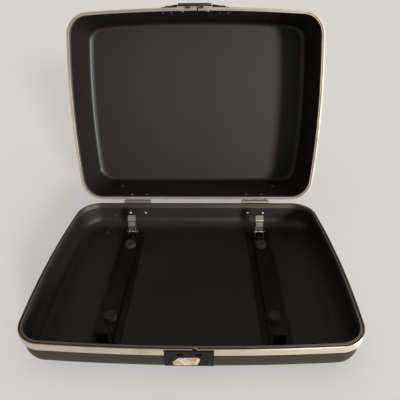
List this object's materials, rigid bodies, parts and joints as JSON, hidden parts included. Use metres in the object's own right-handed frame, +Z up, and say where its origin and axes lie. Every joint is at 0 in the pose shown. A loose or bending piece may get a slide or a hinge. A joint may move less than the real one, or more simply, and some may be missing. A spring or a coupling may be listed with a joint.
{
  "type": "portable typewriter case",
  "caption": "Hinged-lid carrying case for a portable typewriter, with aluminium rims, a flap latch and a folding handle, shown open.",
  "frame": {"origin": "on the table plane, under the middle of the base and 1.2 mm below the raised panel of its underside", "axes": "+X to the right, +Y to the hinges at the back, +Z up; the lid stands open on its hinge stops"},
  "size_m": [0.458, 0.5359, 0.3966],
  "materials": {
    "shell": "moulded, fine leather grain",
    "aluminium": "brushed along its length",
    "rubber": "matt black",
    "grip": "satin black",
    "dark_steel": "black enamel",
    "nickel": "dull nickel plate",
    "hinge_steel": "zinc plated",
    "spring_steel": "bright drawn wire"
  },
  "bodies": {
    "base": {"base_shell": "shell", "base_rim": "aluminium", "strike_plate": "dark_steel", "strike_rivets": "nickel", "foot_screws": "nickel", "hinge_base_rivets": "nickel", "runner_rivets": "nickel", "front_hook_rivets": "nickel", "clip_bracket_rivets": "nickel", "base_foot_front_left": "rubber", "base_foot_front_right": "rubber", "base_foot_rear_left": "rubber", "base_foot_rear_right": "rubber", "buffer_front_left": "rubber", "buffer_front_right": "rubber", "buffer_rear_left": "rubber", "buffer_rear_right": "rubber", "base_spine_foot_left": "rubber", "base_spine_foot_right": "rubber", "hinge_base_leaf_left": "hinge_steel", "hinge_base_leaf_right": "hinge_steel", "hinge_pin_left": "hinge_steel", "hinge_pin_right": "hinge_steel", "runner_left": "dark_steel", "runner_right": "dark_steel", "front_hook_left": "dark_steel", "front_hook_right": "dark_steel", "clip_bracket_left": "dark_steel", "clip_bracket_right": "dark_steel", "clip_pin_left": "nickel", "clip_pin_right": "nickel", "clip_spring_left": "spring_steel", "clip_spring_right": "spring_steel"},
    "lid": {"lid_shell": "shell", "lid_rim": "aluminium", "hinge_lid_rivets": "nickel", "latch_base": "dark_steel", "latch_rivets": "nickel", "latch_pin": "nickel", "latch_spring": "spring_steel", "handle_screws": "dark_steel", "hinge_lid_leaf_left": "hinge_steel", "hinge_lid_leaf_right": "hinge_steel", "handle_mount_left": "dark_steel", "handle_mount_right": "dark_steel", "handle_pin_left": "nickel", "handle_pin_right": "nickel", "lid_spine_foot_left": "rubber", "lid_spine_foot_right": "rubber"},
    "handle": {"handle_bail": "nickel", "handle_grip": "grip"},
    "latch": {"latch_flap": "nickel", "latch_hook_left": "nickel", "latch_hook_right": "nickel"},
    "clip_left": {"clip_lever_left": "nickel"},
    "clip_right": {"clip_lever_right": "nickel"}
  },
  "joints": [
    {"name": "lid_hinge", "type": "hinge", "parent": "base", "child": "lid", "pos_m": [0, 0.1755, 0.052], "axis": [1, 0, 0], "range_deg": [0, 102.9]},
    {"name": "handle_swing", "type": "hinge", "parent": "lid", "child": "handle", "pos_m": [0, 0.27592, 0.38745], "axis": [1, 0, 0], "range_deg": [0, 93]},
    {"name": "latch_flap_pivot", "type": "hinge", "parent": "lid", "child": "latch", "pos_m": [0, 0.28016, 0.38802], "axis": [-1, 0, 0], "range_deg": [0, 60], "stiffness_Nm_per_rad": 0.05, "springref_deg": -22.92, "deforming": ["latch_spring"]},
    {"name": "clip_left_pivot", "type": "hinge", "parent": "base", "child": "clip_left", "pos_m": [-0.118, 0.118, 0.0219], "axis": [-1, 0, 0], "range_deg": [0, 22], "stiffness_Nm_per_rad": 0.25, "springref_deg": -11.46, "deforming": ["clip_spring_left"]},
    {"name": "clip_right_pivot", "type": "hinge", "parent": "base", "child": "clip_right", "pos_m": [0.118, 0.118, 0.0219], "axis": [-1, 0, 0], "range_deg": [0, 22], "stiffness_Nm_per_rad": 0.25, "springref_deg": -11.46, "deforming": ["clip_spring_right"]}
  ]
}
